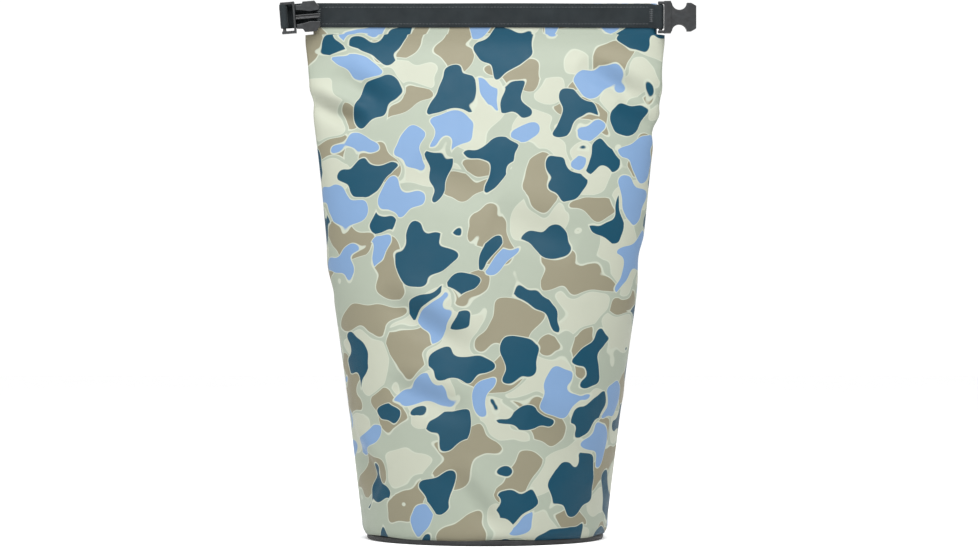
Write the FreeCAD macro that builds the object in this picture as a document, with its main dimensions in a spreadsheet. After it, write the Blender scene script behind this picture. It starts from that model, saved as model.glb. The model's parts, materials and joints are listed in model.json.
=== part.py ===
"""Roll-top insulated cooler bag, standing open and unrolled.

Millimetres, +Z up. The origin is the middle of the base where it meets the floor, the front faces -Y,
and the socket half of the closure buckle is on the +X side.
The bag is a tube: round at the base and pressed flat at the mouth. Its walls are three layers, a coated
skin, closed-cell foam and a liner. A webbing band stiffens the mouth and ends in a side-release buckle.
"""
import FreeCAD, Part
import math
import os
import Sketcher
from FreeCAD import Placement, Rotation, Vector

GAP = 0.3  # play left between two layers or pieces that lie on each other
OVERLAP = 1  # blocks of one piece run into each other by this much

DIMENSIONS = [
    # alias, value, what it is
    ("level_0_height", 0, "each level: height above the floor, half width and half depth of the skin"),
    ("level_0_half_width", 124.6),
    ("level_0_half_depth", 124.4),
    ("level_1_height", 90),
    ("level_1_half_width", 135.4),
    ("level_1_half_depth", 112.4),
    ("level_2_height", 180),
    ("level_2_half_width", 147.2),
    ("level_2_half_depth", 95),
    ("level_3_height", 284),
    ("level_3_half_width", 160.9),
    ("level_3_half_depth", 71),
    ("level_4_height", 388),
    ("level_4_half_width", 172.2),
    ("level_4_half_depth", 44.5),
    ("level_5_height", 440),
    ("level_5_half_width", 179.4),
    ("level_5_half_depth", 29.5),
    ("level_6_height", 475),
    ("level_6_half_width", 183),
    ("level_6_half_depth", 19),
    ("level_7_height", 513),
    ("level_7_half_width", 186.4),
    ("level_7_half_depth", 8.6),
    ("layer_gap", GAP, "play between neighbouring layers"),
    ("skin_thickness", 1.2, "coated fabric"),
    ("foam_thickness", 7, "closed-cell foam in the wall"),
    ("liner_thickness", 0.8, "welded liner film"),
    ("skin_bottom", 6.3, "lower edge of the skin tube"),
    ("skin_top", 511, "upper edge of the skin, at the fold line"),
    ("foam_bottom", 6.8, "the wall foam stands just above the base binding"),
    ("foam_top", 420, "above this the bag is unpadded, so that it rolls"),
    ("panel_radius", 115, "base panel"),
    ("panel_thickness", 2.5),
    ("binding_radius", 121.5, "bound edge of the base"),
    ("base_foam_radius", 113.6),
    ("base_foam_bottom", 2.8),
    ("base_foam_thickness", 17.5),
    ("floor_radius", 113.4, "liner floor"),
    ("floor_bottom", 20.6),
    ("floor_thickness", 1),
    ("seam_across", 75, "back seam: distance from the middle of the back"),
    ("seam_width", 20),
    ("seam_thickness", 0.8),
    ("patch_width", 72, "welded patches that hold the sling strap"),
    ("patch_thickness", 1.4),
    ("upper_patch_low", 432),
    ("upper_patch_high", 484),
    ("lower_patch_low", 14),
    ("lower_patch_high", 68),
    ("strap_width", 38),
    ("strap_thickness", 2),
    ("pad_width", 60),
    ("pad_thickness", 8),
    ("strap_run_depth", 138, "how far behind the middle the straight lower run hangs"),
    ("adjuster_height", 160, "middle of the slide adjuster"),
    ("adjuster_length", 30),
    ("adjuster_bar", 2.4, "bar section"),
    ("adjuster_side", 4.5, "side rail width"),
    ("valve_across", -75, "air valve: place on the back"),
    ("valve_height", 330),
    ("valve_depth", 53.9),
    ("valve_radius", 15),
    ("valve_flange", 3, "how far the valve's flange stands off the skin"),
    ("cap_radius", 11),
    ("cap_thickness", 5),
    ("collar_low", 512.5, "stiff mouth collar"),
    ("collar_high", 549.9),
    ("collar_half_length", 177),
    ("collar_half_depth", 6.5),
    ("collar_liner_half_depth", 3.8),
    ("collar_liner_thickness", 0.6),
    ("stiffener_length", 330),
    ("stiffener_width", 21),
    ("stiffener_thickness", 0.9),
    ("band_width", 25, "closure webbing"),
    ("band_thickness", 1.6),
    ("binding_thickness", 1.2),
    ("bartack_width", 4),
    ("bartack_length", 14),
    ("bartack_height", 0.5),
    ("bartack_across", 171),
    ("loop_radius", 3.4, "outside of the webbing where it turns round a buckle bar"),
    ("bar_play_radius", 1.85),
    ("bar_radius", 1.75, "buckle bars"),
    ("socket_bar_across", 180.4, "bar of the socket half"),
    ("socket_height", 535.5),
    ("loop_droop", 1.2, "how far the band sinks where it turns round the socket half's bar"),
    ("loop_neck", 5.4, "length of the lowered stretch beside the bar"),
    ("prong_bar_across", 206.6, "bar of the prong half, which is folded back over the front"),
    ("prong_bar_depth", 14.5),
    ("prong_height", 533.9),
    ("loop_height", 534.9),
    ("prong_tilt", 4.5, "degrees that the prong half droops at its bar"),
    ("rail_behind", 2.7, "buckle, measured from the bar: how far the side rails reach behind it"),
    ("rail_inside", 13.5),
    ("rail_outside", 16.3),
    ("rail_thickness", 7),
    ("socket_collar_start", 3.7),
    ("socket_collar_end", 10.6),
    ("socket_collar_half_width", 16.6),
    ("socket_collar_thickness", 11.2),
    ("socket_mouth", 36.4, "open end of the socket half"),
    ("socket_half_width", 14.7),
    ("socket_chamfer", 3, "how far the corners of the open end are cut back across it"),
    ("socket_chamfer_along", 5.2),
    ("socket_thickness", 10.4),
    ("cavity_half_width", 11.6),
    ("cavity_thickness", 6.8),
    ("window_along", 19.1, "round thumb windows"),
    ("window_away", 15.1),
    ("window_radius", 7.6),
    ("flange_start", 10, "flange across the prong half"),
    ("flange_end", 12.2),
    ("flange_thickness", 10),
    ("guide_end", 37.6, "tip of the centre guide"),
    ("guide_half_width", 2.3),
    ("guide_thickness", 3.2),
    ("rib_width", 1.2),
    ("rib_thickness", 6),
    ("rib_setback", 1.5),
    ("arm_thickness", 5.6),
]

doc = FreeCAD.newDocument("cooler_bag")
sheet = doc.addObject("Spreadsheet::Sheet", "Sizes")
pieces = []


def fill_sheet():
    for row, dimension in enumerate(DIMENSIONS, start=1):
        alias, value = dimension[:2]
        sheet.set(f"A{row}", alias.replace("_", " "))
        sheet.set(f"B{row}", str(value))
        sheet.setAlias(f"B{row}", alias)
        sheet.set(f"C{row}", dimension[2] if len(dimension) > 2 else "")
    sheet.recompute()


def size(alias):
    return float(sheet.get(alias))


def value_of(expression):
    """The number an expression over the sheet gives now."""
    return float(sheet.evalExpression(str(expression)))


def bind(item, **expressions):
    """Drive properties from the sheet; x, y and z are the placement's position."""
    for name, expression in expressions.items():
        path = f".Placement.Base.{name}" if name in "xyz" else name
        item.setExpression(path, str(expression))


def keep(item, node):
    """Register a finished sub-part under its node name."""
    item.Label = node
    pieces.append(item)
    return item


def cut(name, base, tool):
    item = doc.addObject("Part::Cut", name)
    item.Base = base
    item.Tool = tool
    return item


def common(name, base, tool):
    item = doc.addObject("Part::Common", name)
    item.Base = base
    item.Tool = tool
    return item


def fuse(name, *shapes):
    item = doc.addObject("Part::MultiFuse", name)
    item.Shapes = list(shapes)
    return item


def box(name, x, y, z, length, width, height):
    """A box whose low corner and sides are expressions."""
    item = doc.addObject("Part::Box", name)
    bind(item, x=x, y=y, z=z, Length=length, Width=width, Height=height)
    return item


def cylinder(name, radius, height, x="0", y="0", z="0"):
    item = doc.addObject("Part::Cylinder", name)
    bind(item, Radius=radius, Height=height, x=x, y=y, z=z)
    return item


# ---------------------------------------------------------------- the bag's form

LEVEL_COUNT = 8
LEAST_HALF_DEPTH = 1
LOFT_DEGREE = 3  # a higher degree swells between the levels
OVERALL = 420  # wider and deeper than the bag, for boxes that trim it by height


def envelope(name, inset):
    """The skin's outer form moved inwards by an inset: a loft through an ellipse at each level.

    Above the padded part a deep inset would pass the middle, so the half depth has a lower limit."""
    rings = []
    for number in range(LEVEL_COUNT):
        ring = doc.addObject("Part::Ellipse", f"{name}_ring_{number}")
        bind(
            ring,
            MajorRadius=f"Sizes.level_{number}_half_width - ({inset})",
            MinorRadius=f"max(Sizes.level_{number}_half_depth - ({inset}); {LEAST_HALF_DEPTH})",
            z=f"Sizes.level_{number}_height",
        )
        rings.append(ring)
    form = doc.addObject("Part::Loft", name)
    form.Sections = rings
    form.Solid = True
    form.MaxDegree = LOFT_DEGREE
    return form


def slice_between(name, form, low, high):
    """The part of a form between two heights."""
    slab = box(f"{name}_slab", -OVERALL / 2, -OVERALL / 2, low, OVERALL, OVERALL, f"({high}) - ({low})")
    return common(name, form, slab)


def tube_between(name, outer, inner, low, high):
    return slice_between(name, cut(f"{name}_wall", outer, inner), low, high)


FOAM_INSET = "Sizes.skin_thickness + Sizes.layer_gap"
LINER_INSET = f"{FOAM_INSET} + Sizes.foam_thickness + Sizes.layer_gap"


def make_walls():
    """Skin, wall foam and liner. The liner steps out to the skin where the foam ends."""
    skin = envelope("skin_form", "0")
    skin_inside = envelope("skin_inside", "Sizes.skin_thickness")
    keep(tube_between("skin", skin, skin_inside, "Sizes.skin_bottom", "Sizes.skin_top"), "outer_shell")

    foam = envelope("foam_form", FOAM_INSET)
    foam_inside = envelope("foam_inside", f"{FOAM_INSET} + Sizes.foam_thickness")
    keep(tube_between("foam", foam, foam_inside, "Sizes.foam_bottom", "Sizes.foam_top"), "insulation_wall")

    narrow = envelope("narrow_liner", LINER_INSET)
    narrow_inside = envelope("narrow_liner_inside", f"{LINER_INSET} + Sizes.liner_thickness")
    wide = envelope("wide_liner", FOAM_INSET)
    wide_inside = envelope("wide_liner_inside", f"{FOAM_INSET} + Sizes.liner_thickness")
    step = "Sizes.foam_top + Sizes.layer_gap"
    step_top = f"{step} + Sizes.liner_thickness"
    floor_top = "Sizes.floor_bottom + Sizes.floor_thickness"
    liner = fuse(
        "liner_walls",
        tube_between("liner_low", narrow, narrow_inside, floor_top, step_top),
        tube_between("liner_step", wide, narrow_inside, step, step_top),
        tube_between("liner_high", wide, wide_inside, step, "Sizes.skin_top"),
    )
    keep(liner, "inner_liner")


# ---------------------------------------------------------------- base

def origin_plane(body, role):
    return next(feature for feature in body.Origin.OriginFeatures if feature.Role == role)


def sketch_on(body, name, role):
    sketch = body.newObject("Sketcher::SketchObject", name)
    sketch.AttachmentSupport = (origin_plane(body, role), [""])
    sketch.MapMode = "FlatFace"
    return sketch


def add_circle(sketch, radius):
    """A circle round the sketch's origin."""
    circle = sketch.addGeometry(Part.Circle(Vector(), Vector(0, 0, 1), value_of(radius)))
    sketch.addConstraint(Sketcher.Constraint("Coincident", circle, 3, -1, 1))
    index = sketch.addConstraint(Sketcher.Constraint("Radius", circle, value_of(radius)))
    sketch.setExpression(f"Constraints[{index}]", str(radius))


def add_outline(sketch, corners):
    """A closed outline of straight sides; each corner is a pair of expressions, measured from the origin."""
    points = [Vector(value_of(across), value_of(up)) for across, up in corners]
    count = len(points)
    first = sketch.GeometryCount
    for start, end in zip(points, points[1:] + points[:1]):
        sketch.addGeometry(Part.LineSegment(start, end))
    for number, corner in enumerate(corners):
        line = first + number
        following = first + (number + 1) % count
        sketch.addConstraint(Sketcher.Constraint("Coincident", line, 2, following, 1))
        for kind, expression in zip(("DistanceX", "DistanceY"), corner):
            distance = Sketcher.Constraint(kind, -1, 1, line, 1, value_of(expression))
            index = sketch.addConstraint(distance)
            sketch.setExpression(f"Constraints[{index}]", str(expression))


def add_rectangle(sketch, left, right, bottom, top):
    add_outline(sketch, [(left, bottom), (right, bottom), (right, top), (left, top)])


def pad(body, sketch, length, symmetric=False):
    feature = body.newObject("PartDesign::Pad", f"{sketch.Name}_pad")
    feature.Profile = sketch
    feature.setExpression("Length", str(length))
    feature.Midplane = symmetric


def new_body(node):
    body = doc.addObject("PartDesign::Body", f"{node}_body")
    return keep(body, node)


def make_disc(node, radius, bottom, thickness, hole=None):
    body = new_body(node)
    outline = sketch_on(body, f"{node}_outline", "XY_Plane")
    add_circle(outline, radius)
    if hole:
        add_circle(outline, hole)
    pad(body, outline, thickness)
    bind(body, z=bottom)


def make_base():
    make_disc("base_panel", "Sizes.panel_radius", "0", "Sizes.panel_thickness")
    make_disc(
        "base_binding_ring",
        "Sizes.binding_radius",
        "0",
        "Sizes.skin_bottom",
        hole="Sizes.panel_radius + Sizes.layer_gap",
    )
    make_disc(
        "base_insulation", "Sizes.base_foam_radius", "Sizes.base_foam_bottom", "Sizes.base_foam_thickness"
    )
    make_disc("liner_floor", "Sizes.floor_radius", "Sizes.floor_bottom", "Sizes.floor_thickness")


# ---------------------------------------------------------------- back of the bag

SKIN_PLAY = 0.05  # the patches are welded on: they stand this far off the skin's own surface


def add_on_back(node, across, width, low, high, thickness):
    """A strip that follows the back of the skin between two heights."""
    form = envelope(f"{node}_form", f"-({thickness})")
    inside = envelope(f"{node}_inside", f"-{SKIN_PLAY}")
    area = box(f"{node}_area", f"({across}) - ({width}) / 2", 0, low, width, OVERALL, f"({high}) - ({low})")
    keep(common(node, cut(f"{node}_skin", form, inside), area), node)


def rounded_path(corners, radius):
    """Straight runs joined by tangent arcs of one radius."""
    edges = []
    start = corners[0]
    for before, corner, after in zip(corners, corners[1:], corners[2:]):
        back = (before - corner).normalize()
        ahead = (after - corner).normalize()
        half = back.getAngle(ahead) / 2
        trim = radius / math.tan(half)
        first = corner + back * trim
        last = corner + ahead * trim
        middle = corner + (back + ahead).normalize() * (radius / math.sin(half) - radius)
        edges += [Part.LineSegment(start, first).toShape(), Part.Arc(first, middle, last).toShape()]
        start = last
    edges.append(Part.LineSegment(start, corners[-1]).toShape())
    return Part.Wire(edges)


def ribbon(node, places, radius, width, thickness):
    """A flat strap: a path of (depth, height) places in the middle plane, thickened and given a width."""
    route = doc.addObject("Part::Feature", f"{node}_route")
    route.Shape = rounded_path([Vector(0, depth, height) for depth, height in places], radius)
    section = doc.addObject("Part::Offset2D", f"{node}_section")
    section.Source = route
    section.Fill = True
    bind(section, Value=f"{thickness} / 2")
    strap = doc.addObject("Part::Extrusion", f"{node}_strap")
    strap.Base = section
    strap.DirMode = "Custom"
    strap.Dir = Vector(1, 0, 0)
    strap.Solid = True
    strap.Symmetric = True
    bind(strap, LengthFwd=width)
    return keep(strap, node)


STRAP_BEND = 22
PAD_BEND = 150
PAD_TOP = (83, 387)
PAD_BOTTOM_HEIGHT = 228


def make_sling_strap():
    """The strap leaves the upper patch, carries the pad, and runs straight down to the lower patch."""
    webbing = ("Sizes.strap_width", "Sizes.strap_thickness")
    run = size("strap_run_depth")
    ribbon("strap_webbing_upper", [(22.4, 476), (32.9, 441), (79.3, 391.3)], STRAP_BEND, *webbing)
    pad_places = [PAD_TOP, (124, 312), (run - 0.4, PAD_BOTTOM_HEIGHT)]
    ribbon("shoulder_pad", pad_places, PAD_BEND, "Sizes.pad_width", "Sizes.pad_thickness")
    lower_places = [(run, PAD_BOTTOM_HEIGHT - 7), (run, 96), (121.9, 60), (127.1, 18)]
    ribbon("strap_webbing_lower", lower_places, STRAP_BEND, *webbing)


def make_adjuster():
    """A slide adjuster: its end bars lie outside the webbing and its middle bar inside it."""
    body_middle = "Sizes.strap_run_depth"
    play = "(Sizes.strap_thickness / 2 + Sizes.layer_gap)"
    bar_length = "Sizes.strap_width + 2 * Sizes.adjuster_side + 2"
    parts = []
    for number, end in enumerate((-1, 1)):
        height = f"Sizes.adjuster_height + {end} * (Sizes.adjuster_length - Sizes.adjuster_bar) / 2"
        parts.append(
            box(
                f"adjuster_end_bar_{number}",
                f"-({bar_length}) / 2",
                f"{body_middle} + {play}",
                f"{height} - Sizes.adjuster_bar / 2",
                bar_length,
                "Sizes.adjuster_bar",
                "Sizes.adjuster_bar",
            )
        )
        parts.append(
            box(
                f"adjuster_side_rail_{number}",
                f"{end} * ({bar_length} - Sizes.adjuster_side) / 2 - Sizes.adjuster_side / 2",
                f"{body_middle} - {play} - Sizes.adjuster_bar",
                "Sizes.adjuster_height - Sizes.adjuster_length / 2",
                "Sizes.adjuster_side",
                f"2 * ({play} + Sizes.adjuster_bar)",
                "Sizes.adjuster_length",
            )
        )
    parts.append(
        box(
            "adjuster_middle_bar",
            f"-({bar_length}) / 2",
            f"{body_middle} - {play} - Sizes.adjuster_bar",
            "Sizes.adjuster_height - Sizes.adjuster_side / 2",
            bar_length,
            "Sizes.adjuster_bar",
            "Sizes.adjuster_side",
        )
    )
    keep(fuse("adjuster", *parts), "strap_adjuster")


VALVE_DIRECTION = Vector(-0.165, 0.959, 0.230)  # square to the skin at the valve
VALVE_SUNK = 8  # the flange is made this much deeper, then cut to the skin's form
CAP_GRIP_WIDTH = 3
CAP_GRIP_RISE = 3


def make_valve():
    """A welded flange that follows the skin, and a twist cap on it."""
    turned = Rotation(Vector(0, 0, 1), VALVE_DIRECTION)
    place = Vector(size("valve_across"), size("valve_depth"), size("valve_height"))
    flange = doc.addObject("Part::Cylinder", "valve_flange")
    bind(flange, Radius="Sizes.valve_radius", Height=f"Sizes.valve_flange + {VALVE_SUNK}")
    outward = turned.multVec(Vector(0, 0, 1))
    flange.Placement = Placement(place - outward * VALVE_SUNK, turned)
    keep(cut("valve_seat", flange, envelope("valve_inside", f"-{SKIN_PLAY}")), "valve_base")
    cap = doc.addObject("Part::Cylinder", "valve_cap_disc")
    bind(cap, Radius="Sizes.cap_radius", Height="Sizes.cap_thickness")
    cap.Placement = Placement(place + outward * (size("valve_flange") + GAP), turned)
    grip = doc.addObject("Part::Box", "valve_cap_grip")
    bind(
        grip,
        Length=f"2 * Sizes.cap_radius - {CAP_GRIP_WIDTH}",
        Width=CAP_GRIP_WIDTH,
        Height=f"Sizes.cap_thickness + {CAP_GRIP_RISE}",
    )
    half_grip = CAP_GRIP_WIDTH / 2
    corner = turned.multVec(Vector(half_grip - size("cap_radius"), -half_grip, size("valve_flange") + GAP))
    grip.Placement = Placement(place + corner, turned)
    keep(fuse("valve_cap_whole", cap, grip), "valve_cap")


def make_back():
    add_on_back(
        "back_seam_tape",
        "Sizes.seam_across",
        "Sizes.seam_width",
        "Sizes.lower_patch_low",
        "Sizes.skin_top - Sizes.patch_thickness",
        "Sizes.seam_thickness",
    )
    for name in ("upper", "lower"):
        add_on_back(
            f"{name}_strap_patch",
            "0",
            "Sizes.patch_width",
            f"Sizes.{name}_patch_low",
            f"Sizes.{name}_patch_high",
            "Sizes.patch_thickness",
        )
    make_sling_strap()
    make_adjuster()
    make_valve()


# ---------------------------------------------------------------- mouth closure

def stadium(name, half_length, half_depth, low, high):
    """An upright slab with round ends."""
    straight = f"({half_length}) - ({half_depth})"
    height = f"({high}) - ({low})"
    corner = (f"-({straight})", f"-({half_depth})", low)
    middle = box(f"{name}_middle", *corner, f"2 * ({straight})", f"2 * ({half_depth})", height)
    ends = [
        cylinder(f"{name}_end_{number}", half_depth, height, x=f"{side} * ({straight})", z=low)
        for number, side in enumerate((-1, 1))
    ]
    return fuse(name, middle, *ends)


def sleeve(node, half_length, half_depth, thickness):
    """A flattened tube that lines the mouth from the fold line to the top."""
    limits = ("Sizes.collar_low", "Sizes.collar_high")
    outside = stadium(f"{node}_outside", half_length, half_depth, *limits)
    inside = stadium(
        f"{node}_inside", f"({half_length}) - ({thickness})", f"({half_depth}) - ({thickness})", *limits
    )
    keep(cut(f"{node}_sleeve", outside, inside), node)


def mouth_strip(node, depth, length, width, thickness):
    """A flat strip with its face on the plane y = depth, level with the closure webbing."""
    body = new_body(node)
    outline = sketch_on(body, f"{node}_outline", "XZ_Plane")
    half_length = f"({length}) / 2"
    half_width = f"({width}) / 2"
    add_rectangle(outline, f"-({half_length})", half_length, f"-({half_width})", half_width)
    pad(body, outline, thickness, symmetric=True)
    bind(body, y=depth, z="Sizes.collar_high - Sizes.band_width / 2")


def make_closure():
    sleeve("mouth_collar", "Sizes.collar_half_length", "Sizes.collar_half_depth", "Sizes.skin_thickness")
    liner_half_length = "Sizes.collar_half_length - Sizes.skin_thickness - Sizes.layer_gap"
    sleeve("collar_liner", liner_half_length, "Sizes.collar_liner_half_depth", "Sizes.collar_liner_thickness")
    stiffener_depth = "(Sizes.collar_half_depth - Sizes.skin_thickness + Sizes.collar_liner_half_depth) / 2"
    for node, side in (("front_stiffener", -1), ("back_stiffener", 1)):
        mouth_strip(
            node,
            f"{side} * {stiffener_depth}",
            "Sizes.stiffener_length",
            "Sizes.stiffener_width",
            "Sizes.stiffener_thickness",
        )
    mouth_strip(
        "back_binding",
        "Sizes.collar_half_depth + Sizes.layer_gap + Sizes.binding_thickness / 2",
        "2 * Sizes.collar_half_length",
        "Sizes.band_width",
        "Sizes.binding_thickness",
    )
    make_band()
    make_prong_tab()
    make_bartacks()


BAND_FACE = "(Sizes.collar_half_depth + Sizes.layer_gap)"  # distance of the band's back face from the middle
BAND_LOW = "Sizes.collar_high - Sizes.band_width"


def make_band():
    """The closure webbing, which sinks a little and ends in a loop round the socket half's bar."""
    strip = box(
        "band_strip",
        "-Sizes.collar_half_length",
        f"-{BAND_FACE} - Sizes.band_thickness",
        BAND_LOW,
        "Sizes.collar_half_length + Sizes.socket_bar_across - Sizes.loop_neck",
        "Sizes.band_thickness",
        "Sizes.band_width",
    )
    loop_low = f"{BAND_LOW} - Sizes.loop_droop"
    neck = box(
        "band_neck",
        f"Sizes.socket_bar_across - Sizes.loop_neck - {OVERLAP}",
        f"-{BAND_FACE} - Sizes.band_thickness",
        loop_low,
        f"Sizes.loop_neck + {OVERLAP} - Sizes.bar_play_radius",
        "Sizes.band_thickness",
        "Sizes.band_width",
    )
    loop_place = {
        "x": "Sizes.socket_bar_across",
        "y": f"-{BAND_FACE} - Sizes.band_thickness / 2",
        "z": loop_low,
    }
    loop = cylinder("band_loop", "Sizes.loop_radius", "Sizes.band_width", **loop_place)
    bore = cylinder("band_loop_bore", "Sizes.bar_play_radius", "Sizes.band_width", **loop_place)
    keep(cut("band", fuse("band_whole", strip, neck, loop), bore), "closure_webbing")


def make_prong_tab():
    """The webbing tab of the prong half: it leaves the band's end, droops, and turns round the bar."""
    droop = Rotation(Vector(0, 1, 0), -size("prong_tilt"))
    bar = Vector(-size("prong_bar_across"), -size("prong_bar_depth"), size("loop_height"))
    back_face = value_of(BAND_FACE)
    reach = size("prong_bar_across") - size("collar_half_length") + 3
    thickness = size("band_thickness")
    width = size("band_width")
    # In the tab's own frame the bar is at the origin, +X runs to the band and +Z is along the bar.
    behind = size("prong_bar_depth") - back_face - thickness
    neck = Part.makeBox(thickness, behind, width, Vector(-thickness / 2, 0, -width / 2))
    flat = Part.makeBox(reach, thickness, width, Vector(-thickness / 2, behind, -width / 2))
    loop = Part.makeCylinder(size("loop_radius"), width, Vector(0, 0, -width / 2))
    bore = Part.makeCylinder(size("bar_play_radius"), width, Vector(0, 0, -width / 2))
    tab = neck.fuse([flat, loop]).cut(bore).removeSplitter()
    tab.Placement = Placement(bar, droop)
    beyond_band = Part.makeBox(
        reach, OVERALL, OVERALL, Vector(-size("collar_half_length") - 0.05, -OVERALL / 2, OVERALL)
    )
    item = doc.addObject("Part::Feature", "prong_tab")
    item.Shape = tab.cut(beyond_band)
    keep(item, "male_buckle_tab")


def make_bartacks():
    """Two blocks of dense stitching that hold the ends of the closure webbing."""
    blocks = [
        box(
            f"bartack_{number}",
            f"{side} * Sizes.bartack_across - Sizes.bartack_width / 2",
            f"-{BAND_FACE} - Sizes.band_thickness - Sizes.bartack_height",
            "Sizes.collar_high - (Sizes.band_width + Sizes.bartack_length) / 2",
            "Sizes.bartack_width",
            "Sizes.bartack_height",
            "Sizes.bartack_length",
        )
        for number, side in enumerate((-1, 1))
    ]
    keep(fuse("bartacks", *blocks), "closure_bartacks")


# ---------------------------------------------------------------- side-release buckle
# Each half is drawn in the XZ plane with its bar on the Z axis and its open end towards +X.


def add_bar(body, name):
    outline = sketch_on(body, f"{name}_bar", "XY_Plane")
    add_circle(outline, "Sizes.bar_radius")
    pad(body, outline, f"2 * (Sizes.rail_inside + {OVERLAP})", symmetric=True)


def add_block(body, name, left, right, bottom, top, thickness):
    outline = sketch_on(body, name, "XZ_Plane")
    add_rectangle(outline, left, right, bottom, top)
    pad(body, outline, thickness, symmetric=True)


def add_mirrored_blocks(body, name, left, right, inside, outside, thickness):
    """The same block above and below the middle line."""
    add_block(body, f"{name}_upper", left, right, inside, outside, thickness)
    add_block(body, f"{name}_lower", left, right, f"-({outside})", f"-({inside})", thickness)


def add_rails(body, name, reach):
    """The two side rails that carry the bar."""
    rail = ("Sizes.rail_inside", "Sizes.rail_outside", "Sizes.rail_thickness")
    add_mirrored_blocks(body, f"{name}_rail", "-Sizes.rail_behind", f"{reach} + {OVERLAP}", *rail)


def make_prong_frame():
    """The prong half without its arms: bar, rails, flange, and a ribbed guide in the middle."""
    body = new_body("male_buckle_frame")
    flange = ("Sizes.flange_start", "Sizes.flange_end", "-Sizes.rail_outside", "Sizes.rail_outside")
    add_block(body, "flange", *flange, "Sizes.flange_thickness")
    root = f"Sizes.flange_end - {OVERLAP}"
    guide_width = ("-Sizes.guide_half_width", "Sizes.guide_half_width")
    add_block(body, "guide", root, "Sizes.guide_end", *guide_width, "Sizes.guide_thickness")
    rib_width = ("Sizes.guide_half_width - Sizes.rib_width", "Sizes.guide_half_width")
    rib_end = "Sizes.guide_end - Sizes.rib_setback"
    add_mirrored_blocks(body, "guide_rib", root, rib_end, *rib_width, "Sizes.rib_thickness")
    add_rails(body, "prong", "Sizes.flange_start")
    add_bar(body, "prong")
    place_prong_half(body)


def place_prong_half(body):
    bind(body, x="-Sizes.prong_bar_across", y="-Sizes.prong_bar_depth", z="Sizes.prong_height")
    body.Placement.Rotation = Rotation(Vector(0, 1, 0), -size("prong_tilt"))


ARM_OUTLINE = [
    # along the prong half from its bar, away from its middle line
    (12.7, 7.4),
    (12.7, 11.8),
    (18.8, 12.3),
    (20.7, 15.7),
    (33.0, 15.7),
    (34.8, 12.7),
    (37.4, 10.2),
    (36.8, 6.0),
    (27.0, 5.2),
    (19.0, 6.8),
]


def make_arm(node, side):
    """A spring arm with its thumb pad; side is 1 for the upper arm and -1 for the lower one."""
    body = new_body(node)
    outline = sketch_on(body, f"{node}_outline", "XZ_Plane")
    add_outline(outline, [(along, side * away) for along, away in ARM_OUTLINE])
    pad(body, outline, "Sizes.arm_thickness", symmetric=True)
    place_prong_half(body)


def pocket(body, sketch, length):
    """A cut that reaches half its length to each side of the sketch."""
    feature = body.newObject("PartDesign::Pocket", f"{sketch.Name}_pocket")
    feature.Profile = sketch
    feature.setExpression("Length", str(length))
    feature.Midplane = True


def add_window(sketch, side):
    """The circle of a thumb window above or below the middle line."""
    along, radius = size("window_along"), size("window_radius")
    away = side * size("window_away")
    circle = sketch.addGeometry(Part.Circle(Vector(along, away), Vector(0, 0, 1), radius))
    for constraint, expression in (
        (Sketcher.Constraint("Radius", circle, radius), "Sizes.window_radius"),
        (Sketcher.Constraint("DistanceX", -1, 1, circle, 3, along), "Sizes.window_along"),
        (Sketcher.Constraint("DistanceY", -1, 1, circle, 3, away), f"{side} * Sizes.window_away"),
    ):
        index = sketch.addConstraint(constraint)
        sketch.setExpression(f"Constraints[{index}]", expression)


def make_socket():
    """The socket half: a flat box open at its end, waisted by two round thumb windows."""
    body = new_body("female_buckle")
    collar = "Sizes.socket_collar"
    collar_width = (f"-{collar}_half_width", f"{collar}_half_width")
    add_block(body, "socket_collar", f"{collar}_start", f"{collar}_end", *collar_width, f"{collar}_thickness")
    shell = sketch_on(body, "socket_shell", "XZ_Plane")
    root = f"{collar}_end - {OVERLAP}"
    mouth, wide = "Sizes.socket_mouth", "Sizes.socket_half_width"
    mouth_corner = f"{mouth} - Sizes.socket_chamfer_along"
    narrow = f"({wide} - Sizes.socket_chamfer)"
    corners = [
        (root, f"-{wide}"),
        (mouth_corner, f"-{wide}"),
        (mouth, f"-{narrow}"),
        (mouth, narrow),
        (mouth_corner, wide),
        (root, wide),
    ]
    add_outline(shell, corners)
    pad(body, shell, "Sizes.socket_thickness", symmetric=True)
    add_rails(body, "socket", f"{collar}_start")
    add_bar(body, "socket")
    cavity = sketch_on(body, "socket_cavity", "XZ_Plane")
    cavity_width = ("-Sizes.cavity_half_width", "Sizes.cavity_half_width")
    add_rectangle(cavity, f"{collar}_end + {OVERLAP}", f"{mouth} + {OVERLAP}", *cavity_width)
    pocket(body, cavity, "Sizes.cavity_thickness")
    windows = sketch_on(body, "thumb_windows", "XZ_Plane")
    for side in (-1, 1):
        add_window(windows, side)
    pocket(body, windows, "2 * Sizes.socket_thickness")
    band_middle = f"-{BAND_FACE} - Sizes.band_thickness / 2"
    bind(body, x="Sizes.socket_bar_across", y=band_middle, z="Sizes.socket_height")


def make_buckle():
    make_socket()
    make_prong_frame()
    make_arm("male_arm_upper", 1)
    make_arm("male_arm_lower", -1)


# ---------------------------------------------------------------- build, check and write

def check_document():
    """Stop if any object failed, or a sub-part has no valid solid."""
    for item in doc.Objects:
        if {"Invalid", "Error"} & set(item.State):
            raise RuntimeError(f"{item.Label} did not build: {item.State}")
    for piece in pieces:
        if piece.Shape.isNull() or not piece.Shape.isValid() or not piece.Shape.Solids:
            raise RuntimeError(f"{piece.Label} has no valid solid")


def write_parts():
    os.makedirs("parts", exist_ok=True)
    for piece in pieces:
        piece.Shape.exportStep(f"parts/{piece.Label}.step")
        print(f"{piece.Label}: {piece.Shape.Volume / 1000:.2f} cm3, {len(piece.Shape.Solids)} solid(s)")


fill_sheet()
make_walls()
make_base()
make_back()
make_closure()
make_buckle()
doc.recompute()
check_document()
write_parts()
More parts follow.
